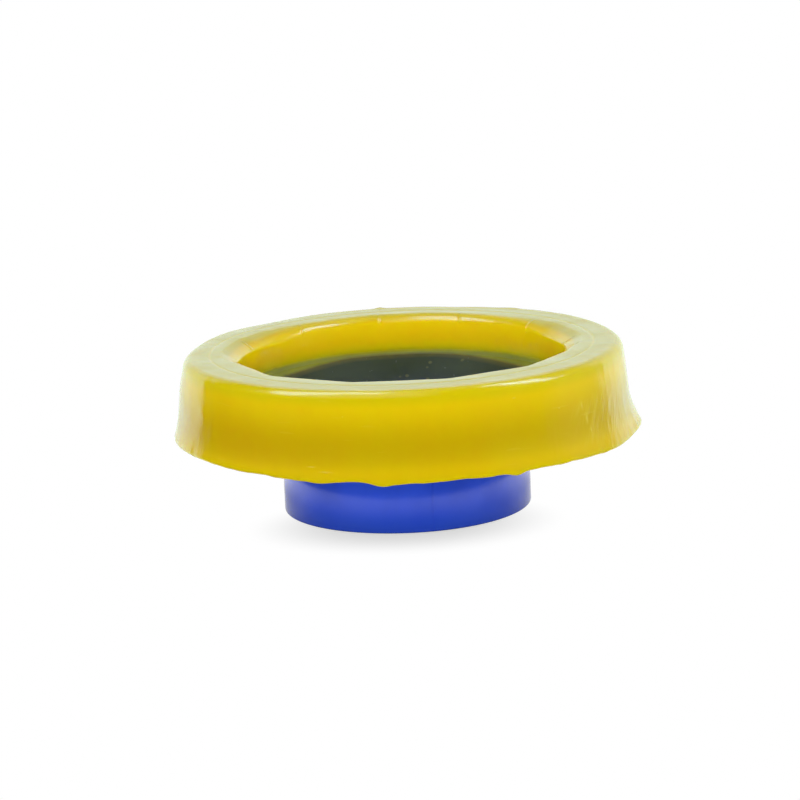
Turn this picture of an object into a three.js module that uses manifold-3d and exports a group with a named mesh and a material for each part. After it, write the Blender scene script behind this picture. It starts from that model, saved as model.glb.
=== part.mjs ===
// A toilet pan seal: a moulded wax ring cast round the flange of a plastic horn.
// The ring is squeezed between the pan's outlet and the floor flange, and the horn's
// sleeve guides the outlet into the soil pipe.
// Millimetres, +Z up. The origin is the centre of the sleeve's foot, on which the seal stands.

import * as THREE from "three";
import { mergeVertices } from "three/addons/utils/BufferGeometryUtils.js";
import Module from "manifold-3d";

const wasm = await Module();
wasm.setup();

// Plastic horn: sleeve, funnel and flange, moulded in one wall of even thickness.
const sleeveRadius = 35; // outside, to enter a 3 inch pipe
const sleeveLength = 21.4; // from the foot to the wax
const hornWall = 1.8;
const footRound = 0.5;
const funnelStart = 2.5; // how far inside the wax the sleeve begins to open
const funnelMouthRadius = 48; // at the middle of the wall, where the funnel meets the flange
const hornBend = 3.2; // rounding of both bends, at the middle of the wall
const flangeRadius = 58;
const keyHoleCount = 12;
const keyHoleRadius = 2.5;
const keyHoleCircle = 53.5; // radius of the circle that the holes lie on

// Wax ring.
const waxHeight = 24.2;
const waxTopRadius = 62.1; // side wall, at the shoulder
const waxFootRadius = 65.5; // side wall, at the lip
const boreRadius = 46;
const shoulderRound = 2.8;
const boreRound = 3;
const flangeCover = 10; // wax above the flange
const partingRadius = 54; // the mould's parting line on the top face
const partingWidth = 0.9;
const partingDepth = 0.25;
const bondGap = 0.3; // clearance of the wax from the horn

// Lip at the wax's lower edge, where the mould let flash out.
const lipWidth = 4.2; // the ring's flat underside ends this far inside the edge
const lipRound = 0.7;
const lipReach = 6.5; // how far up the side wall the flash pulls the lip
const flashMarks = [
  // Where the lip was left shallow, and the widest tongue of flash.
  { at: 203, spread: 30, lift: 1.9, reach: -0.3 },
  { at: 358, spread: 13, lift: 0.5, reach: 1.2 },
  // Beads.
  { at: 30, spread: 9, lift: -0.5, reach: 0.3 },
  { at: 66, spread: 7, lift: -0.7, reach: 0.2 },
  { at: 101, spread: 11, lift: -0.4, reach: 0.4 },
  { at: 139, spread: 8, lift: -0.6, reach: 0.2 },
  { at: 247, spread: 6, lift: -0.5, reach: 0.2 },
  { at: 265, spread: 6, lift: -0.8, reach: 0.3 },
  { at: 297, spread: 6, lift: -0.7, reach: 0.2 },
  { at: 333, spread: 10, lift: -0.7, reach: 0.3 },
];
const rippleCount = 17; // small waves along the lip
const rippleHeight = 0.14;

// Facets round the axis, along a large and a small rounding, and round a key hole.
const ringSegments = 96;
const roundSegments = 4;
const bendSegments = 2;
const holeSegments = 16;
const lipRows = 3; // rows of facets over the height that the flash reaches

const overcut = 1; // how far a cutting shape passes the surfaces that it cuts

// Levels and radii that follow from the sizes above.
const waxBottom = sleeveLength;
const waxTop = waxBottom + waxHeight;
const flangeTop = waxTop - flangeCover;
const flangeBottom = flangeTop - hornWall;
const sleeveMiddle = sleeveRadius - hornWall / 2;
const shoulderRadius = waxTopRadius - shoulderRound;
const sideHeight = waxHeight - shoulderRound - lipRound;
const sideSlope = (waxFootRadius - waxTopRadius) / sideHeight;
const sideLean = THREE.MathUtils.radToDeg(Math.atan(sideSlope));

const at = (r, z) => new THREE.Vector2(r, z);

// Points of an arc about (r, z), from one angle to another, in degrees from outward.
function arc(r, z, radius, from, to, steps = roundSegments) {
  return Array.from({ length: steps + 1 }, (_, i) => {
    const angle = THREE.MathUtils.degToRad(from + ((to - from) * i) / steps);
    return at(r + radius * Math.cos(angle), z + radius * Math.sin(angle));
  });
}

// A closed mesh whose shared vertices are merged, as a solid for cutting and joining.
function solidFrom(geometry) {
  geometry.deleteAttribute("normal");
  geometry.deleteAttribute("uv");
  const merged = mergeVertices(geometry, 1e-4);
  return new wasm.Manifold(
    new wasm.Mesh({
      numProp: 3,
      vertProperties: merged.attributes.position.array,
      triVerts: new Uint32Array(merged.index.array),
    }),
  );
}

function geometryFrom(solid) {
  const mesh = solid.getMesh();
  const geometry = new THREE.BufferGeometry();
  geometry.setAttribute("position", new THREE.BufferAttribute(mesh.vertProperties, 3));
  geometry.setIndex(new THREE.BufferAttribute(mesh.triVerts, 1));
  geometry.computeVertexNormals();
  return geometry;
}

// A profile of (radius, height) points, anticlockwise, turned about the Z axis.
function revolve(profile) {
  const lathe = new THREE.LatheGeometry(profile, ringSegments);
  return lathe.rotateX(Math.PI / 2);
}

// The middle of the horn's wall: up the sleeve, out along the funnel, flat along the flange.
const hornLine = [
  at(sleeveMiddle, 0),
  at(sleeveMiddle, waxBottom + funnelStart),
  at(funnelMouthRadius, flangeTop - hornWall / 2),
  at(flangeRadius, flangeTop - hornWall / 2),
];

// The line beside this one, that far to its right, with both inner corners rounded.
function beside(line, distance) {
  const ways = line.slice(1).map((point, i) => point.clone().sub(line[i]).normalize());
  const right = ways.map((way) => at(way.y, -way.x));
  const corner = (i) => {
    const across = right[i - 1].clone().add(right[i]);
    return line[i].clone().addScaledVector(across, (2 * distance) / across.lengthSq());
  };
  const bend = (i) => {
    const turn = ways[i - 1].angleTo(ways[i]);
    const reach = (hornBend - distance) * Math.tan(turn / 2);
    const from = corner(i).addScaledVector(ways[i - 1], -reach);
    const centre = from.clone().addScaledVector(right[i - 1], hornBend - distance);
    const start = THREE.MathUtils.radToDeg(right[i - 1].clone().negate().angle());
    const end = start - THREE.MathUtils.radToDeg(turn);
    return arc(centre.x, centre.y, hornBend - distance, start, end, bendSegments);
  };
  const first = line[0].clone().addScaledVector(right[0], distance);
  const last = line.at(-1).clone().addScaledVector(right.at(-1), distance);
  return [first, ...bend(1), ...bend(2), last];
}

// The horn's section. grow widens it on every side that the wax touches.
function hornProfile(grow = 0) {
  const half = hornWall / 2;
  const outside = beside(hornLine, half + grow);
  const inside = beside(hornLine, -half - grow).reverse();
  outside.at(-1).x += grow;
  inside[0].x += grow;
  if (grow) return [...outside, ...inside, outside[0].clone()];
  const foot = [
    ...arc(sleeveMiddle - half + footRound, footRound, footRound, 180, 270, bendSegments),
    ...arc(sleeveRadius - footRound, footRound, footRound, 270, 360, bendSegments),
  ];
  return [...foot, ...outside.slice(1), ...inside.slice(0, -1), foot[0].clone()];
}

// One upright cylinder through the flange for each key hole.
function keys(radius, from, to) {
  return Array.from({ length: keyHoleCount }, (_, i) => {
    const angle = (2 * Math.PI * i) / keyHoleCount;
    const cylinder = new THREE.CylinderGeometry(radius, radius, to - from, holeSegments);
    cylinder.rotateX(Math.PI / 2);
    cylinder.translate(
      keyHoleCircle * Math.cos(angle),
      keyHoleCircle * Math.sin(angle),
      (from + to) / 2,
    );
    return solidFrom(cylinder);
  });
}

function makeHorn() {
  let horn = solidFrom(revolve(hornProfile()));
  for (const hole of keys(keyHoleRadius, flangeBottom - overcut, flangeTop + overcut)) {
    horn = horn.subtract(hole);
  }
  return horn;
}

// How far the flash lifts the lip and pushes it out, at this angle round the ring in degrees.
function flashAt(angle) {
  const sum = { lift: 0, reach: 0 };
  for (const mark of flashMarks) {
    const away = THREE.MathUtils.euclideanModulo(angle - mark.at + 180, 360) - 180;
    const share = Math.exp(-((away / mark.spread) ** 2));
    sum.lift += mark.lift * share;
    sum.reach += mark.reach * share;
  }
  sum.lift += rippleHeight * Math.sin(THREE.MathUtils.degToRad(angle * rippleCount));
  return sum;
}

// Pulls the vertices near the lip out and up or down, by an amount that varies round the ring.
function addFlash(geometry) {
  const position = geometry.getAttribute("position");
  const point = new THREE.Vector3();
  for (let i = 0; i < position.count; i++) {
    point.fromBufferAttribute(position, i);
    const radius = Math.hypot(point.x, point.y);
    const level = point.z - waxBottom;
    const outer = THREE.MathUtils.smoothstep(radius, waxFootRadius - lipWidth, waxFootRadius - lipRound);
    const low = 1 - THREE.MathUtils.smoothstep(level, lipRound, lipReach);
    const share = outer * low;
    if (share === 0) continue;
    const angle = THREE.MathUtils.radToDeg(Math.atan2(point.y, point.x));
    const { lift, reach } = flashAt(angle);
    const pushed = (radius + reach * share) / radius;
    position.setXYZ(i, point.x * pushed, point.y * pushed, point.z + lift * share);
  }
  return geometry;
}

// The wax without its bore: underside, lip, tapered side, shoulder and top face.
function waxBlankProfile() {
  const sideRows = Array.from({ length: lipRows }, (_, i) => {
    const level = lipReach * ((i + 1) / lipRows) ** 2;
    return at(waxFootRadius - sideSlope * level, waxBottom + lipRound + level);
  });
  const halfLine = partingWidth / 2;
  return [
    at(0, waxBottom),
    at(waxFootRadius - lipWidth, waxBottom),
    at(waxFootRadius - lipWidth / 2, waxBottom),
    ...arc(waxFootRadius - lipRound, waxBottom + lipRound, lipRound, 270, 360, bendSegments),
    ...sideRows,
    ...arc(shoulderRadius, waxTop - shoulderRound, shoulderRound, sideLean, 90),
    at(partingRadius + halfLine, waxTop),
    at(partingRadius, waxTop - partingDepth),
    at(partingRadius - halfLine, waxTop),
    at(0, waxTop),
  ];
}

// What is hollow inside the ring: the bore with its rounded mouth, then down inside the horn.
function boreProfile() {
  const [sleeveFoot, funnelFoot, funnelMouth] = hornLine;
  const share = (boreRadius - funnelFoot.x) / (funnelMouth.x - funnelFoot.x);
  return [
    at(0, 0),
    sleeveFoot,
    funnelFoot,
    funnelFoot.clone().lerp(funnelMouth, share),
    ...arc(boreRadius + boreRound, waxTop - boreRound, boreRound, 180, 90),
    at(boreRadius + boreRound, waxTop + overcut),
    at(0, waxTop + overcut),
  ];
}

function makeWax() {
  let wax = solidFrom(addFlash(revolve(waxBlankProfile())));
  wax = wax.subtract(solidFrom(revolve(boreProfile())));
  wax = wax.subtract(solidFrom(revolve(hornProfile(bondGap))));
  const inside = bondGap * 2;
  for (const plug of keys(keyHoleRadius - bondGap, flangeBottom - inside, flangeTop + inside)) {
    wax = wax.add(plug);
  }
  return wax;
}

const plastic = new THREE.MeshStandardMaterial({
  name: "blue_plastic",
  color: 0x2f49b4,
  roughness: 0.32,
  metalness: 0,
});
const yellowWax = new THREE.MeshStandardMaterial({
  name: "yellow_wax",
  color: 0xd8b80a,
  roughness: 0.28,
  metalness: 0,
});

function namedMesh(name, solid, material) {
  const mesh = new THREE.Mesh(geometryFrom(solid), material);
  mesh.name = name;
  return mesh;
}

const seal = new THREE.Group();
seal.name = "toilet_pan_seal";
seal.add(namedMesh("plastic_horn", makeHorn(), plastic));
seal.add(namedMesh("wax_ring", makeWax(), yellowWax));

export default seal;
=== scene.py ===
# The looks of a toilet pan seal: a glossy ring of yellow wax on a blue plastic horn.
# Metres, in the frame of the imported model, +Z up, with the camera on the -Y side.

import math

import bmesh
import bpy
from mathutils import Matrix, Vector, noise


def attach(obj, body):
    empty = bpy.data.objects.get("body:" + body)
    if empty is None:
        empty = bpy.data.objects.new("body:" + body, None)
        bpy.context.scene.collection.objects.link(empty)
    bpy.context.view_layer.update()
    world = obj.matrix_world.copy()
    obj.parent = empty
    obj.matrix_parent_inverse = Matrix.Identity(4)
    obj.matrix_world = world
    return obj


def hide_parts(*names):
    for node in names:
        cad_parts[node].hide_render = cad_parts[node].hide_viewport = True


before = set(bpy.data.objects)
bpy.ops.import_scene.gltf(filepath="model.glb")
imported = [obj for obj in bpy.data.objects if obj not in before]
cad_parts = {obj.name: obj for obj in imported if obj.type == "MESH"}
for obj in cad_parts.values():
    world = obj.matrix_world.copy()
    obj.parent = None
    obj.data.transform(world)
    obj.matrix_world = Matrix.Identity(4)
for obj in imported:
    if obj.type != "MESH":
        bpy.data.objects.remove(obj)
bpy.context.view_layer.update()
scene = bpy.context.scene
mm = 0.001
noise.seed_set(5)  # so that every run gives the same unevenness
print("frame loaded")


# Shader maths, written as expressions.
class Signal:
    def __init__(self, graph, socket):
        self.graph = graph
        self.socket = socket

    def calculate(self, operation, first, second=0.0):
        return self.graph.node("ShaderNodeMath", {"operation": operation}, {0: first, 1: second})

    def __add__(self, other):
        return self.calculate("ADD", self, other)

    def __radd__(self, other):
        return self.calculate("ADD", other, self)

    def __sub__(self, other):
        return self.calculate("SUBTRACT", self, other)

    def __rsub__(self, other):
        return self.calculate("SUBTRACT", other, self)

    def __mul__(self, other):
        return self.calculate("MULTIPLY", self, other)

    def __rmul__(self, other):
        return self.calculate("MULTIPLY", other, self)

    def __truediv__(self, other):
        return self.calculate("DIVIDE", self, other)

    def __pow__(self, other):
        return self.calculate("POWER", self, other)

    def absolute(self):
        return self.calculate("ABSOLUTE", self)

    def rise(self, low, high):  # 0 below low, 1 above high, smooth between
        settings = {"interpolation_type": "SMOOTHSTEP"}
        sockets = {"Value": self, "From Min": low, "From Max": high}
        return self.graph.node("ShaderNodeMapRange", settings, sockets)

    def fall(self, low, high):  # 1 below low, 0 above high
        return 1 - self.rise(low, high)

    def near(self, middle, width):  # 1 at middle, fading to 0 at width on both sides
        return (self - middle).absolute().fall(0, width)


class Graph:
    def __init__(self, tree):
        self.tree = tree
        tree.nodes.clear()

    def node(self, kind, settings=None, sockets=None, output=0):
        made = self.tree.nodes.new(kind)
        for name, value in (settings or {}).items():
            if name == "stops":
                ramp = made.color_ramp
                while len(ramp.elements) < len(value):
                    ramp.elements.new(0.5)
                for element, (place, colour) in zip(ramp.elements, value):
                    element.position = place
                    element.color = colour
            else:
                setattr(made, name, value)
        for name, value in (sockets or {}).items():
            if isinstance(value, Signal):
                self.tree.links.new(value.socket, made.inputs[name])
            else:
                made.inputs[name].default_value = value
        return Signal(self, made.outputs[output]) if len(made.outputs) else made

    def blend(self, share, first, second):  # of two colours
        sockets = {0: share, 6: first, 7: second}
        return self.node("ShaderNodeMix", {"data_type": "RGBA"}, sockets, 2)

    def place(self):  # Object coordinates, and their x, y and z
        coordinates = self.node("ShaderNodeTexCoord", output=3)
        parts = [self.node("ShaderNodeSeparateXYZ", {}, {0: coordinates}, i) for i in range(3)]
        return coordinates, *parts

    def grain(self, coordinates, scale, detail=2.0, stretch=(1, 1, 1)):
        placed = self.node("ShaderNodeMapping", {}, {"Vector": coordinates, "Scale": stretch})
        sockets = {"Vector": placed, "Scale": scale, "Detail": detail}
        return self.node("ShaderNodeTexNoise", {}, sockets)

    def bump(self, height, distance, under=None):
        sockets = {"Height": height, "Distance": distance}
        if under is not None:
            sockets["Normal"] = under
        return self.node("ShaderNodeBump", {}, sockets)


def newMaterial(name):
    material = bpy.data.materials.new(name)
    material.use_nodes = True
    return material, Graph(material.node_tree)


def written(red, green, blue):  # a colour as it is written in 0 to 255, made linear
    parts = [value / 255 for value in (red, green, blue)]
    return (*[p / 12.92 if p <= 0.04045 else ((p + 0.055) / 1.055) ** 2.4 for p in parts], 1)


def fromAxis(x, y):
    return (x * x + y * y) ** 0.5


def outwards(x, y, angle):  # along a line that leaves the Z axis at an angle
    turn = math.radians(angle)
    return x * math.cos(turn) + y * math.sin(turn)


def beside(x, y, angle):  # across that line
    turn = math.radians(angle)
    return x * -math.sin(turn) + y * math.cos(turn)


# Camera at the photo's place.
cameraView = {
    "distance": 0.85,
    "elevation": 12.06,
    "roll": 2.51,
    "focalPixels": 3003,
    "aim": (0, 0, 0.023),
    "aimPixel": (404.78, 423.71),
    "framePixels": 800,
}


def makeCamera(view):
    lift = math.radians(view["elevation"])
    roll = math.radians(view["roll"])
    forward = Vector((0, math.cos(lift), -math.sin(lift)))
    level = Vector((1, 0, 0))
    upright = level.cross(forward)
    right = math.cos(roll) * level - math.sin(roll) * upright
    up = math.sin(roll) * level + math.cos(roll) * upright
    half = view["framePixels"] / 2
    pixel = view["distance"] / view["focalPixels"]
    along = (view["aimPixel"][0] - half) * pixel
    above = (half - view["aimPixel"][1]) * pixel
    place = Vector(view["aim"]) - view["distance"] * forward - along * right - above * up
    data = bpy.data.cameras.new("camera")
    data.sensor_width = 36
    data.lens = data.sensor_width * view["focalPixels"] / view["framePixels"]
    data.clip_start, data.clip_end = 0.01, 20
    camera = bpy.data.objects.new("camera", data)
    scene.collection.objects.link(camera)
    turn = Matrix((right, up, -forward)).transposed()
    camera.matrix_world = Matrix.Translation(place) @ turn.to_4x4()
    scene.camera = camera


makeCamera(cameraView)
print("camera placed")


# Sizes of the horn's wall, which the wax follows. Millimetres, as are the wax's own sizes.
hornSizes = {
    "sleeveRadius": 35,
    "wall": 1.8,
    "funnelFoot": 23.9,  # height of the lower bend
    "funnelMouth": 48,  # radius of the upper bend, at the middle of the wall
    "flangeTop": 35.6,
    "flangeRadius": 58,
    "footRound": 0.5,
    "edgeRound": 0.4,
    "bendRound": 3.2,
    "bendSegments": 8,
    "outerBendSegments": 6,  # of the upper bend, inside the wax
    "edgeSegments": 3,
    "steps": 240,
    "fineStep": 1.5,  # longest edge along the section
}


def besideHorn(distance):
    # Foot, lower bend, upper bend and edge of a line beside the middle of the horn's wall.
    half = hornSizes["wall"] / 2
    middle = hornSizes["sleeveRadius"] - half
    level = hornSizes["flangeTop"] - half
    lean = math.atan2(level - hornSizes["funnelFoot"], hornSizes["funnelMouth"] - middle)
    start = Vector((middle, hornSizes["funnelFoot"]))
    start += distance * Vector((math.sin(lean), -math.cos(lean)))
    lower = (middle + distance, start.y + (middle + distance - start.x) * math.tan(lean))
    upper = (start.x + (level - distance - start.y) / math.tan(lean), level - distance)
    turns = (math.pi / 2 - lean, lean)
    rounds = [(hornSizes["bendRound"] - distance) * math.tan(turn / 2) for turn in turns]
    foot = (middle + distance, 0)
    edge = (hornSizes["flangeRadius"], level - distance)
    return foot, lower, upper, edge, rounds


def limited(value):
    return min(max(value, 0), 1)


def ease(value, low, high):
    share = limited((value - low) / (high - low))
    return share * share * (3 - 2 * share)


def bell(value, middle, spread):  # 1 at middle, fading over the spread
    return math.exp(-(((value - middle) / spread) ** 2))


def turnFrom(angle, middle):
    return (angle - middle + 180) % 360 - 180


def hump(angle, mark):  # a bell round the ring, at the mark's own angle
    return bell(turnFrom(angle, mark["at"]), 0, mark["spread"])


def spinSection(corners, steps, fineStep, hidden=None, hiddenStep=None):
    # A closed section drawn as corners, rounded, cut into short edges and spun about the Z axis.
    form = bmesh.new()
    points = [form.verts.new((c["at"][0] * mm, 0, c["at"][1] * mm)) for c in corners]
    form.faces.new(points)
    for point, corner in zip(points, corners):
        if corner.get("round"):
            bmesh.ops.bevel(
                form,
                geom=[point],
                offset=corner["round"] * mm,
                offset_type="OFFSET",
                segments=corner.get("segments", 6),
                profile=0.5,
                affect="VERTICES",
                material=-1,
            )
    bmesh.ops.delete(form, geom=list(form.faces), context="FACES_ONLY")
    for edge in list(form.edges):
        middle = (edge.verts[0].co + edge.verts[1].co) / 2 / mm
        step = hiddenStep if hidden and hidden(middle.x, middle.z) else fineStep
        cuts = math.ceil(edge.calc_length() / mm / step) - 1
        if cuts > 0:
            bmesh.ops.subdivide_edges(form, edges=[edge], cuts=cuts)
    bmesh.ops.spin(
        form,
        geom=list(form.verts) + list(form.edges),
        cent=(0, 0, 0),
        axis=(0, 0, 1),
        angle=2 * math.pi,
        steps=steps,
        use_merge=True,
    )
    bmesh.ops.recalc_face_normals(form, faces=list(form.faces))
    return form


def addObject(form, name, material):
    mesh = bpy.data.meshes.new(name)
    form.to_mesh(mesh)
    form.free()
    mesh.materials.append(material)
    made = bpy.data.objects.new(name, mesh)
    scene.collection.objects.link(made)
    return made


def addPiece(form, name, material, node):
    piece = addObject(form, name, material)
    for polygon in piece.data.polygons:
        polygon.use_smooth = True
    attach(piece, "root")
    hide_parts(node)
    return piece


# Blue plastic of the horn, with a fine mould seam down the sleeve, and painted shade towards the
# foot. Materials are in metres.
hornPaint = {
    "blue": written(52, 90, 236),
    "shadedFootBlue": written(42, 74, 184),
    "footShadeHeights": (-0.002, 0.011),  # over which the painted shade at the foot gives way to the lighter blue above, where painted light offsets the ring's shadow
    "deepBlue": written(40, 72, 200),
    "deepShare": 0.6,
    "seamAngle": 281,
    "seamWidth": 0.0006,
    "seamShare": 0.3,
    "roughness": 0.1,
    "relief": {"streak": 0.00015, "seam": 0.00006, "fine": 0.000004},
}


def makeHornMaterial(paint):
    material, graph = newMaterial("blue_plastic")
    coordinates, x, y, z = graph.place()
    cloud = graph.grain(coordinates, 60, 3)
    streak = graph.grain(coordinates, 90, 3, (1, 1, 0.12))
    fine = graph.grain(coordinates, 900, 2)
    # Painted light and shade: the blue is darker towards the foot and lighter higher up under
    # the ring.
    colour = graph.blend(z.rise(*paint["footShadeHeights"]), paint["shadedFootBlue"], paint["blue"])
    deep = cloud.rise(0.35, 0.75) * paint["deepShare"]
    colour = graph.blend(deep, colour, paint["deepBlue"])
    seam = beside(x, y, paint["seamAngle"]).near(0.0, paint["seamWidth"])
    seam = seam * outwards(x, y, paint["seamAngle"]).rise(0.0, 0.01)
    colour = graph.blend(seam * paint["seamShare"], colour, paint["deepBlue"])
    relief = paint["relief"]
    normal = graph.bump(streak, relief["streak"])
    normal = graph.bump(seam, relief["seam"], normal)
    normal = graph.bump(fine, relief["fine"], normal)
    surface = graph.node(
        "ShaderNodeBsdfPrincipled",
        {},
        {
            "Base Color": colour,
            "Roughness": paint["roughness"] + (streak - 0.5) * 0.1,
            "IOR": 1.5,
            "Subsurface Weight": 0.15,
            "Subsurface Radius": (0.2, 0.3, 1.0),
            "Subsurface Scale": 0.002,
            "Normal": normal,
        },
    )
    graph.node("ShaderNodeOutputMaterial", {}, {"Surface": surface})
    return material


def hornSide(sizes, distance, upperSegments):  # one face of the wall, from the foot to the edge
    foot, lower, upper, edge, rounds = besideHorn(distance)
    return [
        {"at": foot, "round": sizes["footRound"]},
        {"at": lower, "round": rounds[0], "segments": sizes["bendSegments"]},
        {"at": upper, "round": rounds[1], "segments": upperSegments},
        {"at": edge, "round": sizes["edgeRound"], "segments": sizes["edgeSegments"]},
    ]


def makeHorn(sizes, material):
    half = sizes["wall"] / 2
    outside = hornSide(sizes, half, sizes["outerBendSegments"])
    inside = hornSide(sizes, -half, sizes["bendSegments"])
    form = spinSection(outside + inside[::-1], sizes["steps"], sizes["fineStep"])
    return addPiece(form, "hornMoulding", material, "plastic_horn")


makeHorn(hornSizes, makeHornMaterial(hornPaint))
print("horn made")


# Wax ring, with the marks that the mould left on it.
waxSizes = {
    "bottom": 21.4,
    "top": 45.6,
    "footRadius": 65.5,
    "sideSlope": 0.1643,  # inwards per height
    "boreRadius": 46,
    "shoulderRound": 2.8,
    "boreRound": 3,
    "lipRound": 0.7,
    "filmThickness": 0.35,  # of the wax that covers the funnel inside
    "filmRound": 0.3,
    "filmEnd": 0.5,  # from the lower bend to the film's end, along the radius
    "filmEndRound": 0.1,
    "filmFoot": 0.6,  # and to where the wax meets the horn
    "bond": 0.03,
    "partingRadius": 54,
    "partingWidth": 1.1,
    "partingDepth": 0.12,
    "partingRound": 0.15,
    "steps": 384,
    "fineStep": 0.8,  # longest edge along the section
    "hiddenStep": 3,  # and where the wax can't be seen
    "hiddenRadii": (35.1, 60),
    "hiddenHeights": (24, 40),
    "fixedRadius": 35.2,  # nearer the axis the wax keeps to the sleeve
}

waxMarks = {
    "lipWidth": 4.2,
    "liftReach": 4.5,  # how far up the side the lip's lift is felt
    "pushReach": 11,  # and its push outwards
    "sideRadius": 60,  # beyond it all but the lowest wax is the side
    "sideLevels": (1, 3),
    "lip": [
        {"at": 205, "spread": 34, "lift": 1.25, "push": -0.3},
        {"at": 233, "spread": 4, "lift": 0.35, "push": 0},
        {"at": 240, "spread": 2.4, "lift": 0.1, "push": 0.2},
        {"at": 249, "spread": 3, "lift": -0.35, "push": 0.2},
        {"at": 257.5, "spread": 4, "lift": 0.4, "push": 0},
        {"at": 264.3, "spread": 2.6, "lift": -0.85, "push": 0.3},
        {"at": 273, "spread": 7, "lift": -0.3, "push": 0.1},
        {"at": 289.5, "spread": 3.5, "lift": -0.28, "push": 0},
        {"at": 296.6, "spread": 2.2, "lift": -0.8, "push": 0.3},
        {"at": 311, "spread": 4, "lift": -0.17, "push": 0},
        {"at": 332, "spread": 14, "lift": -1.0, "push": 0.2},
        {"at": 358, "spread": 12, "lift": -0.25, "push": 1.5},
        {"at": 30, "spread": 9, "lift": -0.5, "push": 0.3},
        {"at": 66, "spread": 7, "lift": -0.7, "push": 0.2},
        {"at": 101, "spread": 11, "lift": -0.4, "push": 0.4},
        {"at": 139, "spread": 8, "lift": -0.6, "push": 0.2},
    ],
    "ripple": 0.2,  # small waves along the lip
    "rippleWaves": ((260, 3.1, 1.0), (620, 8.7, 0.5)),  # scale, layer of the noise and share
    "crownRadii": (57, 60.5),
    "crownHeights": (36, 44),
    "shoulder": [  # where the shoulder is fuller or slacker
        {"at": 42, "spread": 24, "push": 1.0, "lift": 0.12},
        {"at": 56.5, "spread": 2.5, "push": 0.0, "lift": 0.18},
        {"at": 74, "spread": 5, "push": 0.0, "lift": -0.12},
        {"at": 95.8, "spread": 1.3, "push": 0.2, "lift": 0.4},
        {"at": 130, "spread": 10, "push": 0.0, "lift": -0.32},
        {"at": 172, "spread": 18, "push": -0.6, "lift": -0.25},
        {"at": 3, "spread": 14, "push": 0.18, "lift": 0.0},
    ],
    "brow": {"at": 268, "spread": 48, "lift": 0.4},  # the shoulder is squarer at the front
    "browRadius": 60.95,
    "browWidth": 0.65,
    "browHeights": (43.6, 44.4),
    "waist": {"level": 8, "spread": 6, "push": -0.5},  # the side is a little hollow
    "apron": 0.22,  # how far the top sinks from the parting line to the bore
    "apronRadii": (46, 53.4),
    "topHeights": (38, 44),
    # The mouth's round by angle: how far out and down it reaches, and how flat it is.
    "mouth": [
        {"at": 4, "out": 5.2, "down": 2.5, "facet": 0.9},
        {"at": 10, "out": 5.2, "down": 2.7, "facet": 0.9},
        {"at": 17, "out": 4.8, "down": 2.9, "facet": 0.75},
        {"at": 27, "out": 4.8, "down": 2.7, "facet": 0.7},
        {"at": 35, "out": 4.2, "down": 2.2, "facet": 0.5},
        {"at": 42, "out": 2.8, "down": 2.0, "facet": 0.2},
        {"at": 50, "out": 2.1, "down": 2.1, "facet": 0},
        {"at": 80, "out": 2.0, "down": 2.0, "facet": 0},
        {"at": 100, "out": 2.4, "down": 2.4, "facet": 0},
        {"at": 117, "out": 2.5, "down": 2.5, "facet": 0},
        {"at": 131, "out": 3.4, "down": 3.3, "facet": 0},
        {"at": 137, "out": 4.0, "down": 3.4, "facet": 0.2},
        {"at": 144, "out": 4.4, "down": 2.9, "facet": 0.55},
        {"at": 155, "out": 4.6, "down": 2.8, "facet": 0.7},
        {"at": 168, "out": 4.6, "down": 2.8, "facet": 0.8},
        {"at": 177, "out": 5.2, "down": 2.6, "facet": 0.9},
        {"at": 187, "out": 4.2, "down": 2.2, "facet": 0.7},
        {"at": 197, "out": 2.0, "down": 1.6, "facet": 0},
        {"at": 210, "out": 1.6, "down": 1.6, "facet": 0},
        {"at": 222, "out": 2.1, "down": 2.1, "facet": 0},
        {"at": 335, "out": 2.1, "down": 2.1, "facet": 0},
        {"at": 345, "out": 2.4, "down": 2.0, "facet": 0.2},
        {"at": 355, "out": 4.6, "down": 2.3, "facet": 0.8},
        {"at": 364, "out": 5.2, "down": 2.5, "facet": 0.9},
    ],
    "mouthFoot": 37,
    "mouthRadius": 53,
    "mouthLiftRadii": (49, 49.4),
    "mouthStretch": {"at": 84, "spread": 42, "push": 1.7, "lift": 0.15},  # wider at the back
    "stretchFoot": 34.8,
    "stretchRise": 9,
    "stretchRadii": (49, 53.3),
    # The mould's core had twelve sides, which meet in faint corners round the mouth.
    "corners": [
        {"at": 8, "share": 0.1},
        {"at": 38, "share": 0.2},
        {"at": 68.5, "share": 0.2},
        {"at": 98, "share": 0.15},
        {"at": 128, "share": 0.2},
        {"at": 157.5, "share": 0.2},
        {"at": 190.5, "share": 0.7},
        {"at": 223.5, "share": 0.85},
        {"at": 253.5, "share": 0.85},
        {"at": 284.4, "share": 0.85},
        {"at": 313.4, "share": 0.85},
        {"at": 341, "share": 0.6},
    ],
    "cornerRound": 1.6,
    "cornerReach": 15,  # degrees, half of one side
    "cornerHeights": (38.5, 43.5),
    "cornerRadii": (48.5, 53),
    "wobble": 0.09,
    "wobbleScales": (55, 170),
    "wobbleRise": 2,  # from none at the bottom
}


def mouthRound(marks, angle):  # how far out and down the round reaches here, and how flat it is
    nodes = marks["mouth"]
    turned = angle if angle >= nodes[0]["at"] else angle + 360
    after = max(next(i for i, node in enumerate(nodes) if node["at"] >= turned), 1)
    first, second = nodes[after - 1], nodes[after]
    along = (turned - first["at"]) / (second["at"] - first["at"])
    return [first[key] + along * (second[key] - first[key]) for key in ("out", "down", "facet")]


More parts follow.
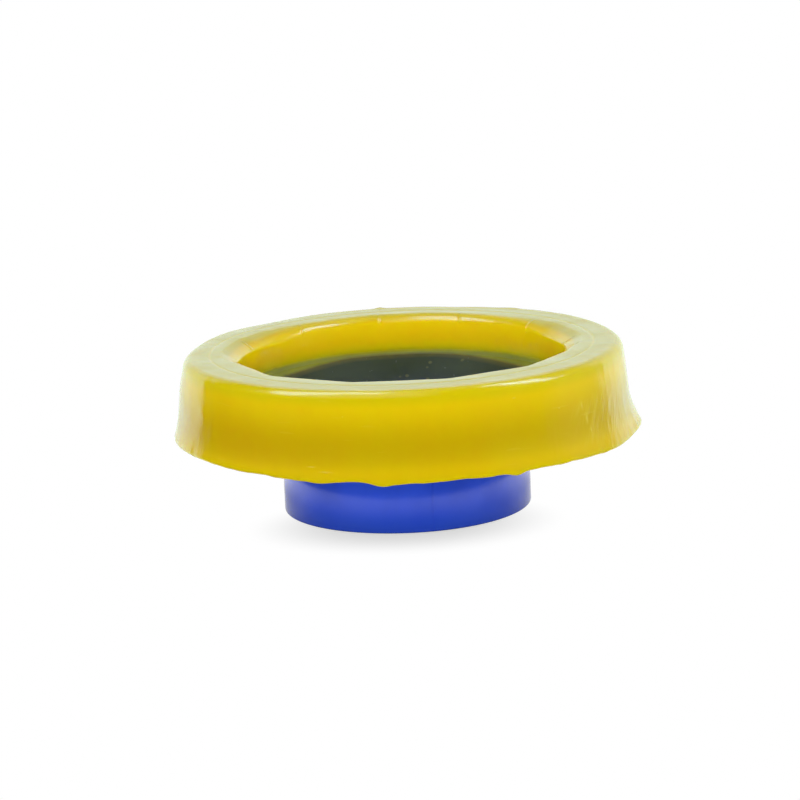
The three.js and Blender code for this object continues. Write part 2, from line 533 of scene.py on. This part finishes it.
def moulded(sizes, marks, point):
    # Where a point of the true turned form lies on the ring as it was cast.
    radius = math.hypot(point.x, point.y) / mm
    height = point.z / mm
    angle = math.degrees(math.atan2(point.y, point.x)) % 360
    level = height - sizes["bottom"]
    foot, lipRound = sizes["footRadius"], sizes["lipRound"]
    outer = ease(radius, foot - marks["lipWidth"], foot - lipRound)
    if radius > marks["sideRadius"]:
        outer = max(outer, ease(level, *marks["sideLevels"]))
    push = lift = 0
    if outer > 0:
        lifted = outer * (1 - ease(level, lipRound, marks["liftReach"]))
        pushed = outer * max(1 - max(level - lipRound, 0) / marks["pushReach"], 0) ** 3
        for mark in marks["lip"]:
            share = hump(angle, mark)
            lift += mark["lift"] * share * lifted
            push += mark["push"] * share * pushed
        wave = 0
        for scale, layer, share in marks["rippleWaves"]:
            wave += share * noise.noise(Vector((point.x * scale, point.y * scale, layer)))
        lift += marks["ripple"] * wave * lifted
        push += 0.7 * marks["ripple"] * wave * pushed
    waist = marks["waist"]
    push += waist["push"] * bell(level, waist["level"], waist["spread"]) * outer

    # Shoulder.
    crown = ease(radius, *marks["crownRadii"]) * ease(height, *marks["crownHeights"])
    if crown > 0:
        for mark in marks["shoulder"]:
            share = hump(angle, mark) * crown
            push += mark["push"] * share
            lift += mark["lift"] * share
        brow = bell(radius, marks["browRadius"], marks["browWidth"])
        brow *= ease(height, *marks["browHeights"])
        lift += marks["brow"]["lift"] * hump(angle, marks["brow"]) * brow

    # Mouth of the bore.
    if height > marks["mouthFoot"] and radius < marks["mouthRadius"]:
        bend = sizes["boreRound"]
        bore = sizes["boreRadius"]
        across = limited((bore + bend - radius) / bend)
        upward = limited((height - sizes["top"] + bend) / bend)
        flat = limited((marks["mouthRadius"] - radius) / (marks["mouthRadius"] - bore - bend))
        wall = ease(height, marks["mouthFoot"], sizes["top"] - bend)
        out, down, facet = mouthRound(marks, angle)
        straight = facet * math.atan2(upward, across) / (math.pi / 2)
        outward = straight + (1 - facet) * (1 - across)
        raised = straight + (1 - facet) * upward
        push += (out * outward - bend * (1 - across)) * flat
        drop = (bend * (1 - upward) - down * (1 - raised)) * wall
        lift += drop * (1 - ease(radius, *marks["mouthLiftRadii"]))
        corner = min(marks["corners"], key=lambda corner: abs(turnFrom(angle, corner["at"])))
        gap = abs(turnFrom(angle, corner["at"]))
        turn = marks["cornerReach"] - max(gap - marks["cornerRound"] / 2, 0)
        side = math.radians(max(turn, 0))
        rim = ease(height, *marks["cornerHeights"]) * (1 - ease(radius, *marks["cornerRadii"]))
        push += corner["share"] * bore * (1 / math.cos(side) - 1) * rim
    stretchFoot, (stretchIn, stretchOut) = marks["stretchFoot"], marks["stretchRadii"]
    if height > stretchFoot and radius < stretchOut:
        stretch = marks["mouthStretch"]
        share = hump(angle, stretch) * (1 - ease(radius, stretchIn, stretchOut))
        push += stretch["push"] * share * min((height - stretchFoot) / marks["stretchRise"], 1)
        lift += stretch["lift"] * share * ease(height, *marks["topHeights"])
    sunk = (1 - ease(radius, *marks["apronRadii"])) * ease(height, *marks["topHeights"])
    lift -= marks["apron"] * sunk

    # Unevenness all over.
    broad, narrow = marks["wobbleScales"]
    seen = ease(height, sizes["bottom"], sizes["bottom"] + marks["wobbleRise"])
    roll = noise.noise_vector(point * broad) + 0.35 * noise.noise_vector(point * narrow)
    push += marks["wobble"] * roll.x * seen
    lift += marks["wobble"] * roll.z * seen
    scale = (radius + push) / radius
    return Vector((point.x * scale, point.y * scale, (height + lift) * mm))


def makeWax(sizes, marks, material):
    half = hornSizes["wall"] / 2
    bottom, top = sizes["bottom"], sizes["top"]
    foot = sizes["footRadius"]
    bore = sizes["boreRadius"]
    parting, halfLine = sizes["partingRadius"], sizes["partingWidth"] / 2
    partingRound = sizes["partingRound"]
    topRadius = foot - sizes["sideSlope"] * (top - bottom - sizes["lipRound"])
    lean = math.atan(sizes["sideSlope"])
    shoulder = sizes["shoulderRound"] * math.tan((math.pi / 2 - lean) / 2)
    _, filmLow, filmHigh, _, _ = besideHorn(-half - sizes["filmThickness"])
    filmSlope = (filmHigh[1] - filmLow[1]) / (filmHigh[0] - filmLow[0])
    filmTop = filmLow[1] + (bore - filmLow[0]) * filmSlope
    filmRound = sizes["filmRound"] * math.tan((math.pi / 2 - math.atan(filmSlope)) / 2)
    _, inLow, inHigh, inEdge, _ = besideHorn(-half - sizes["bond"])
    _, outLow, outHigh, outEdge, _ = besideHorn(half + sizes["bond"])
    edge = outEdge[0] + sizes["bond"]
    filmEnd = (filmLow[0] + sizes["filmEnd"], filmLow[1] + sizes["filmEnd"] * filmSlope)
    filmFoot = (inLow[0] + sizes["filmFoot"], inLow[1] + sizes["filmFoot"] * filmSlope)
    corners = [
        {"at": (outLow[0], bottom)},
        {"at": (foot, bottom), "round": sizes["lipRound"], "segments": 5},
        {"at": (topRadius, top), "round": shoulder, "segments": 12},
        {"at": (parting + halfLine, top), "round": partingRound, "segments": 2},
        {"at": (parting, top - sizes["partingDepth"])},
        {"at": (parting - halfLine, top), "round": partingRound, "segments": 2},
        {"at": (bore, top), "round": sizes["boreRound"], "segments": 12},
        {"at": (bore, filmTop), "round": filmRound, "segments": 10},
        {"at": filmEnd, "round": sizes["filmEndRound"], "segments": 2},
        {"at": filmFoot},
        {"at": inHigh},
        {"at": (edge, inEdge[1])},
        {"at": (edge, outEdge[1])},
        {"at": outHigh},
        {"at": outLow},
    ]

    def inBore(radius, height):
        slack = 0.1
        film = filmLow[1] + (radius - filmLow[0]) * filmSlope
        return radius < bore + slack and height > film - slack

    def hidden(radius, height):
        inRing = sizes["hiddenRadii"][0] < radius < sizes["hiddenRadii"][1]
        inLayer = sizes["hiddenHeights"][0] < height < sizes["hiddenHeights"][1]
        return inRing and inLayer and not inBore(radius, height)

    form = spinSection(corners, sizes["steps"], sizes["fineStep"], hidden, sizes["hiddenStep"])
    for vert in form.verts:
        radius, height = math.hypot(vert.co.x, vert.co.y) / mm, vert.co.z / mm
        if radius > sizes["fixedRadius"] and not hidden(radius, height):
            vert.co = moulded(sizes, marks, vert.co)
    return addPiece(form, "waxRing", material, "wax_ring")


waxPaint = {
    "yellow": written(223, 199, 3),
    "warmYellow": written(220, 191, 2),
    "shadedMidYellow": written(197, 172, 1),  # painted shade half way down the side, between the upper side and the lip
    "shadedMidWarmYellow": written(198, 165, 1),
    # painted light: the lip is lighter where the floor throws light up onto it
    "floorLitLipYellow": written(215, 185, 2),
    "partingYellow": written(224, 206, 10),
    "shadedTopYellow": written(207, 191, 3),  # painted shade round the shoulder and on top, darker than the side
    # painted light inside the bore, where light bounces round the bore and glows through the wax
    "litBoreYellow": written(252, 214, 2),
    "litLowBoreYellow": written(255, 207, 1),
    "rubbedYellow": written(228, 212, 78),
    "film": [  # colour by height in mm where the wax thins out over the funnel: the blue showing through thin wax, darkened by painted shade deep in the bore, rising to the bore wall's painted light
        (25.0, written(26, 34, 80)),
        (27.8, written(47, 53, 42)),
        (29.6, written(50, 58, 24)),
        (31.4, written(54, 62, 16)),
        (33.1, written(54, 60, 6)),
        (34.1, written(112, 98, 4)),
        (34.8, written(244, 198, 2)),
        (36.4, written(255, 208, 1)),
    ],
    "filmDrift": 0.0012,  # how far the film's colours wander up and down
    "filmSides": 0.0017,  # and how far they lie lower at the left and right
    # Heights and radii between which each part's colour comes in or goes out.
    "sideRadii": (0.058, 0.061),
    "shadedMidHeights": ((0.0195, 0.0300), (0.0310, 0.0425)),
    "floorLitLipHeights": (0.0228, 0.0265),
    "crownHeights": (0.0405, 0.0435),
    "crownRadii": (0.0480, 0.0495),
    "partingRadius": 0.054,
    "partingWidth": 0.0008,
    "litBoreHeights": ((0.03, 0.034), (0.0430, 0.0448)),
    "litBoreRadii": (0.0480, 0.0494),
    "litLowBoreHeights": (0.0375, 0.0425),
    "filmRadii": (0.0466, 0.0472),
    "filmHeights": (0.0373, 0.0379),
    "dullHeights": (0.0335, 0.0365),
    "creaseHeight": 0.0347,
    "creaseWidth": 0.001,
    "creaseRadii": (0.0449, 0.0455),
    "rubHeights": ((0.0225, 0.0265), (0.034, 0.0385)),
    "tickHeights": (0.0418, 0.0432),
    "tickRadii": (0.0492, 0.0506),
    "roughness": 0.17,
    "fineRoughness": 0.12,
    "filmRoughness": 0.08,
    "creaseRoughness": 0.35,
    "relief": {
        "ripple": 0.0006,
        "streak": 0.00011,
        "ticks": 0.00014,
        "marks": 0.00005,
        "fine": 0.00002,
    },
    "unrolledRadius": 0.064,  # at which distances along the ring are true
    "ticks": (8, 38.5, 68.5, 97.5, 127.5, 157),  # short ridges across the round of the mouth
    "tickWidth": 0.0007,
    # Flecks and rubs on the side: turn from the front in mm along the ring, height, half sizes.
    "flecks": [
        (-25.6, 25.6, 1.8, 0.28),
        (-21.5, 24.4, 2.6, 0.3),
        (-17.0, 39.0, 0.35, 0.35),
        (31.3, 40.9, 0.9, 0.3),
        (45.8, 36.0, 0.7, 0.3),
        (54.8, 35.0, 0.6, 1.6),
        (56.3, 31.0, 0.8, 2.0),
        (57.6, 28.0, 0.5, 1.2),
    ],
    "rubTurn": 329,  # degrees, the middle of the rubbed patch
    "rubLean": 0.55,  # of its scratches, along the ring for each height
    "shares": {"specks": 0.12, "scratch": 0.26, "flecks": 0.45, "hairs": 0.12},
}


def makeWaxMaterial(paint):
    material, graph = newMaterial("yellow_wax")
    coordinates, x, y, z = graph.place()
    radius = fromAxis(x, y)
    turned = graph.node("ShaderNodeMath", {"operation": "ARCTAN2"}, {0: x, 1: 0 - y})
    along = turned * paint["unrolledRadius"]
    unrolled = graph.node("ShaderNodeCombineXYZ", {}, {0: along, 2: z})
    cloud = graph.grain(coordinates, 45, 3)
    side = radius.rise(*paint["sideRadii"])
    shares = paint["shares"]

    # Broad colour: warmer to the left; painted shade half way down the side and on the top, a
    # lip lit by painted light from the floor, and painted light inside the bore.
    warm = cloud.rise(0.35, 0.7) * 0.7 + x.fall(-0.06, 0.0) * 0.5
    upper = graph.blend(warm, paint["yellow"], paint["warmYellow"])
    lower = graph.blend(warm, paint["shadedMidYellow"], paint["shadedMidWarmYellow"])
    # Painted shade half way down the side, with painted floor light on the lip below it.
    midShadeFoot, midShadeHead = paint["shadedMidHeights"]
    midShade = z.fall(*midShadeHead) * z.rise(*midShadeFoot) * side
    colour = graph.blend(midShade, upper, lower)
    colour = graph.blend(z.fall(*paint["floorLitLipHeights"]) * side, colour, paint["floorLitLipYellow"])
    # Painted shade on the shoulder and top.
    crown = z.rise(*paint["crownHeights"]) * radius.rise(*paint["crownRadii"])
    colour = graph.blend(crown, colour, paint["shadedTopYellow"])
    parting = radius.near(paint["partingRadius"], paint["partingWidth"]) * z.rise(0.043, 0.044)
    colour = graph.blend(parting, colour, paint["partingYellow"])
    # Painted light on the bore wall, more orange lower down.
    boreFoot, boreHead = paint["litBoreHeights"]
    bore = radius.fall(*paint["litBoreRadii"]) * z.rise(*boreFoot) * z.fall(*boreHead)
    lowBore = z.rise(*paint["litLowBoreHeights"])
    boreLight = graph.blend(lowBore, paint["litLowBoreYellow"], paint["litBoreYellow"])
    colour = graph.blend(bore, colour, boreLight)

    # Low in the bore the blue funnel shows through a film of wax, with painted shade deep in the
    # bore.
    low, high = paint["film"][0][0], paint["film"][-1][0]
    stops = [((height - low) / (high - low), shade) for height, shade in paint["film"]]
    sideways = (x.absolute() * 28).rise(0.2, 1.1) * paint["filmSides"]
    drift = (cloud - 0.5) * paint["filmDrift"]
    depth = (z + sideways + drift - low * mm) / ((high - low) * mm)
    film = graph.node("ShaderNodeValToRGB", {"stops": stops}, {"Fac": depth})
    within = radius.fall(*paint["filmRadii"])
    inside = within * z.fall(*paint["filmHeights"])
    colour = graph.blend(inside, colour, film)
    dull = within * z.fall(*paint["dullHeights"])
    crease = z.near(paint["creaseHeight"], paint["creaseWidth"])
    crease = crease * radius.rise(*paint["creaseRadii"]) * within
    specks = graph.node("ShaderNodeTexVoronoi", {}, {"Vector": coordinates, "Scale": 260})
    dots = specks.fall(0.1, 0.2) * graph.grain(coordinates, 30).rise(0.56, 0.62) * inside
    colour = graph.blend(dots * shares["specks"], colour, paint["rubbedYellow"])

    # Rubs, flecks and fine scratches on the side.
    facing = outwards(x, y, paint["rubTurn"]) / radius
    rubFoot, rubHead = paint["rubHeights"]
    patch = facing.rise(0.960, 0.994) * z.rise(*rubFoot) * z.fall(*rubHead) * side
    slanted = along - z * paint["rubLean"]
    leaning = graph.node("ShaderNodeCombineXYZ", {}, {0: slanted, 2: z})
    scratch = graph.grain(leaning, 480, 4, (1.0, 1.0, 0.2)).rise(0.42, 0.7) * patch
    hairs = graph.grain(unrolled, 260, 2, (0.3, 1.0, 3.0)).rise(0.66, 0.74) * side
    flecks = 0.0
    for place, height, half, halfHeight in paint["flecks"]:
        wide = (along + (cloud - 0.5) * 0.004).near(place * mm, half * mm)
        flecks = flecks + wide * z.near(height * mm, halfHeight * mm) * side
    marks = scratch * shares["scratch"] + flecks * shares["flecks"] + hairs * shares["hairs"]
    colour = graph.blend(marks, colour, paint["rubbedYellow"])

    # Relief: slow ripples, mould streaks down the side, ticks round the mouth, fine pits.
    ripple = graph.grain(coordinates, 70, 2)
    streak = graph.grain(unrolled, 330, 3, (1.0, 1.0, 0.05)) * side
    fine = graph.grain(coordinates, 420, 3)
    ticks = 0.0
    for angle in paint["ticks"]:
        across = beside(x, y, angle) + (ripple - 0.5) * 0.001
        tick = across.near(0.0, paint["tickWidth"])
        ticks = ticks + tick * outwards(x, y, angle).rise(0.03, 0.04)
    ticks = ticks * radius.fall(*paint["tickRadii"]) * z.rise(*paint["tickHeights"])
    relief = paint["relief"]
    normal = graph.bump(ripple, relief["ripple"])
    normal = graph.bump(streak, relief["streak"], normal)
    normal = graph.bump(ticks, relief["ticks"], normal)
    normal = graph.bump(scratch + flecks, relief["marks"], normal)
    normal = graph.bump(fine, relief["fine"], normal)
    roughness = paint["roughness"] + (fine - 0.5) * paint["fineRoughness"]
    roughness = roughness + dull * paint["filmRoughness"] + crease * paint["creaseRoughness"]
    surface = graph.node(
        "ShaderNodeBsdfPrincipled",
        {},
        {
            "Base Color": colour,
            "Roughness": roughness,
            "IOR": 1.46,
            "Subsurface Weight": 1.0,
            "Subsurface Radius": (1.0, 0.75, 0.05),
            "Subsurface Scale": 0.008,
            "Normal": normal,
        },
    )
    graph.node("ShaderNodeOutputMaterial", {}, {"Surface": surface})
    return material


makeWax(waxSizes, waxMarks, makeWaxMaterial(waxPaint))
print("wax ring made")


# Stage: a white floor for the camera, and a small white turntable that glows in the gloss, with
# a painted shadow round the foot.
# Metres, as for the lamps.
stageSizes = {
    "floorSize": 4.0,
    "floorHeight": -0.0004,
    "floorAlbedo": 0.8,
    "floorGlow": 0.46,
    "shadowMiddle": (-0.001, -0.022),
    "shadowReach": (0.015, 0.046),  # beyond it the floor only glows
    "shadowSquash": 1.3,  # how much shorter it is from front to back
    "turntableRadius": 0.0755,
    "turntableHeight": -0.0002,
    "turntableWhite": 0.3,
    "turntableGlow": 1.1,
    "turntableShadowRadii": (0.046, 0.075),
    "rearGlow": 0.5,
    "rightGlow": 0.28,
    "leftGlow": 0.14,
}


def paper(graph, white):
    return graph.node("ShaderNodeBsdfDiffuse", {}, {"Color": (white, white, white, 1)})


def makeFloor(sizes):
    material, graph = newMaterial("floor_white")
    _, x, y, _ = graph.place()
    aside = x - sizes["shadowMiddle"][0]
    ahead = (y - sizes["shadowMiddle"][1]) * sizes["shadowSquash"]
    away = fromAxis(aside, ahead).rise(*sizes["shadowReach"])
    seen = graph.node("ShaderNodeLightPath", output=0)
    strength = seen * (sizes["floorGlow"] * (1 - away) + away)
    glow = graph.node("ShaderNodeEmission", {}, {"Strength": strength})
    lit = paper(graph, sizes["floorAlbedo"])
    near = graph.node("ShaderNodeAddShader", {}, {0: lit, 1: glow})
    both = graph.node("ShaderNodeMixShader", {}, {0: away, 1: near, 2: glow})
    graph.node("ShaderNodeOutputMaterial", {}, {"Surface": both})
    form = bmesh.new()
    bmesh.ops.create_grid(form, x_segments=1, y_segments=1, size=sizes["floorSize"] / 2)
    floor = addObject(form, "floor", material)
    floor.location.z = sizes["floorHeight"]
    floor.visible_glossy = False
    floor.visible_diffuse = False
    floor.visible_transmission = False
    return floor


def makeTurntable(sizes):
    material, graph = newMaterial("turntable_white")
    _, x, y, _ = graph.place()
    # Glow seen only in reflections: a painted shadow round the foot, brighter behind and to the
    # sides.
    bright = fromAxis(x, y).rise(*sizes["turntableShadowRadii"])
    bright = bright + sizes["rearGlow"] * y.rise(-0.03, -0.004)
    bright = bright + sizes["rightGlow"] * x.rise(0.01, 0.04)
    bright = bright + sizes["leftGlow"] * x.fall(-0.04, -0.01)
    glossy = graph.node("ShaderNodeLightPath", output=3)
    glow = graph.node("ShaderNodeEmission", {}, {"Strength": bright * sizes["turntableGlow"]})
    lit = paper(graph, sizes["turntableWhite"])
    both = graph.node("ShaderNodeMixShader", {}, {0: glossy, 1: lit, 2: glow})
    graph.node("ShaderNodeOutputMaterial", {}, {"Surface": both})
    form = bmesh.new()
    radius = sizes["turntableRadius"]
    bmesh.ops.create_circle(form, cap_ends=True, radius=radius, segments=96)
    turntable = addObject(form, "turntable", material)
    turntable.location.z = sizes["turntableHeight"]
    turntable.visible_camera = False
    turntable.visible_shadow = False
    return turntable


def makeStage(sizes):
    makeFloor(sizes)
    makeTurntable(sizes)


makeStage(stageSizes)
print("stage made")


# Light: two panels overhead that show in the gloss, and a low fill at the camera's side.
lamps = [
    {
        "name": "panelLeft",
        "place": (-0.88, -0.52, 1.0),
        "size": (1.5, 0.6),
        "level": 8.5,
        "colour": (0.46, 0.74, 1.0),
        "gloss": True,  # seen only in reflections
    },
    {
        "name": "panelRight",
        "place": (1.5, -0.3, 1.0),
        "size": (1.7, 0.5),
        "level": 11.5,
        "colour": (0.46, 0.74, 1.0),
        "gloss": True,
    },
    {
        "name": "fill",
        "place": (-0.12, -1.5, 0.35),
        "size": (3.2, 0.9),
        "level": 2.12,
        "colour": (1, 1, 1),
        "gloss": False,  # lights matt surfaces only
    },
]

surroundings = {
    "softBelow": 0.48,  # what matt surfaces receive from below the horizon
    "softLow": 0.74,  # from low all round
    "softLeft": 0.42,  # more of it from the left
    "softRight": 0.85,  # and from the right
    "softHigh": 0.54,  # and from overhead
    "backdrop": 1.22,  # and what shows in the gloss
    "backdropHalf": 56,  # degrees either side of +Y
    "backdropBlur": 0.09,  # radians, the softness of its edge
    "backdropSides": 0.16,  # how much brighter it is away from the middle
    "backdropCorners": 0.7,  # and how much is cut from its upper corners
    "rightWall": 0.3,
    "rightWallEnd": 99,
    "rightWallBlur": 0.03,
    "room": 0.012,
    "ceiling": 0.9,
    "haze": 1.7,  # high at the front left, a dim tail under the panels' highlights
    "glossTint": (0.88, 1.06, 1.03, 1),
}


def makeLamps(lamps):
    for lamp in lamps:
        data = bpy.data.lights.new(lamp["name"], "AREA")
        data.shape = "RECTANGLE"
        data.size, data.size_y = lamp["size"]
        data.energy = lamp["level"] * math.pi * lamp["size"][0] * lamp["size"][1]
        data.color = lamp["colour"]
        light = bpy.data.objects.new(lamp["name"], data)
        scene.collection.objects.link(light)
        light.location = lamp["place"]
        if not lamp["gloss"]:  # the panels hang level, the fill faces the seal
            light.rotation_euler = Vector(lamp["place"]).to_track_quat("Z", "Y").to_euler()
        light.visible_glossy = lamp["gloss"]
        light.visible_diffuse = not lamp["gloss"]
        light.visible_camera = False


def makeSurroundings(levels):
    world = bpy.data.worlds.new("studio")
    world.use_nodes = True
    scene.world = world
    graph = Graph(world.node_tree)
    direction = graph.node("ShaderNodeTexCoord", output=0)
    x, y, z = [graph.node("ShaderNodeSeparateXYZ", {}, {0: direction}, i) for i in range(3)]
    flat = fromAxis(x, y) + 0.0001
    behind = y / flat  # cosine of the turn away from the backdrop's middle

    def upTo(degrees, blur):
        turn = math.radians(degrees)
        return behind.rise(math.cos(turn + blur), math.cos(turn - blur))

    # What the gloss shows.
    backdrop = upTo(levels["backdropHalf"], levels["backdropBlur"])
    backdrop = backdrop * (1 + levels["backdropSides"] * x.absolute().rise(0.4, 0.6))
    upperCorners = z.rise(0.42, 0.62) * x.absolute().rise(0.22, 0.42)
    backdrop = backdrop * (1 - upperCorners * levels["backdropCorners"])
    rightWall = upTo(levels["rightWallEnd"], levels["rightWallBlur"]) * x.rise(-0.05, 0.05)
    ceiling = z.rise(0.7, 0.92) * z.fall(0.975, 0.998)
    level = levels["room"] + rightWall * (levels["rightWall"] - levels["room"])
    level = level * (1 - backdrop) + backdrop * levels["backdrop"]
    level = level * (1 - ceiling) + ceiling * levels["ceiling"]
    haze = z.rise(0.3, 0.65) * z.fall(0.88, 0.97) * y.fall(-0.15, 0.1) * x.fall(-0.05, 0.3)
    level = level + haze * (1 - ceiling) * levels["haze"]

    # What matt surfaces receive, and plain white for the camera.
    soft = levels["softLow"] + z.rise(0.2, 0.55) * (levels["softHigh"] - levels["softLow"])
    sides = x.fall(-0.95, -0.45) * levels["softLeft"] + x.rise(0.45, 0.95) * levels["softRight"]
    soft = soft + sides * z.fall(0.2, 0.62)
    soft = soft + z.fall(-0.1, 0.0) * (levels["softBelow"] - levels["softLow"])
    camera = graph.node("ShaderNodeLightPath", output=0)
    glossy = graph.node("ShaderNodeLightPath", output=3)
    level = soft * (1 - glossy) + level * glossy
    level = level * (1 - camera) + camera
    tint = graph.blend(glossy, (1, 1, 1, 1), levels["glossTint"])
    tint = graph.blend(camera, tint, (1, 1, 1, 1))
    background = graph.node("ShaderNodeBackground", {}, {"Color": tint, "Strength": level})
    graph.node("ShaderNodeOutputWorld", {}, {"Surface": background})


makeLamps(lamps)
makeSurroundings(surroundings)
scene.view_settings.view_transform = "Standard"
print("light made")
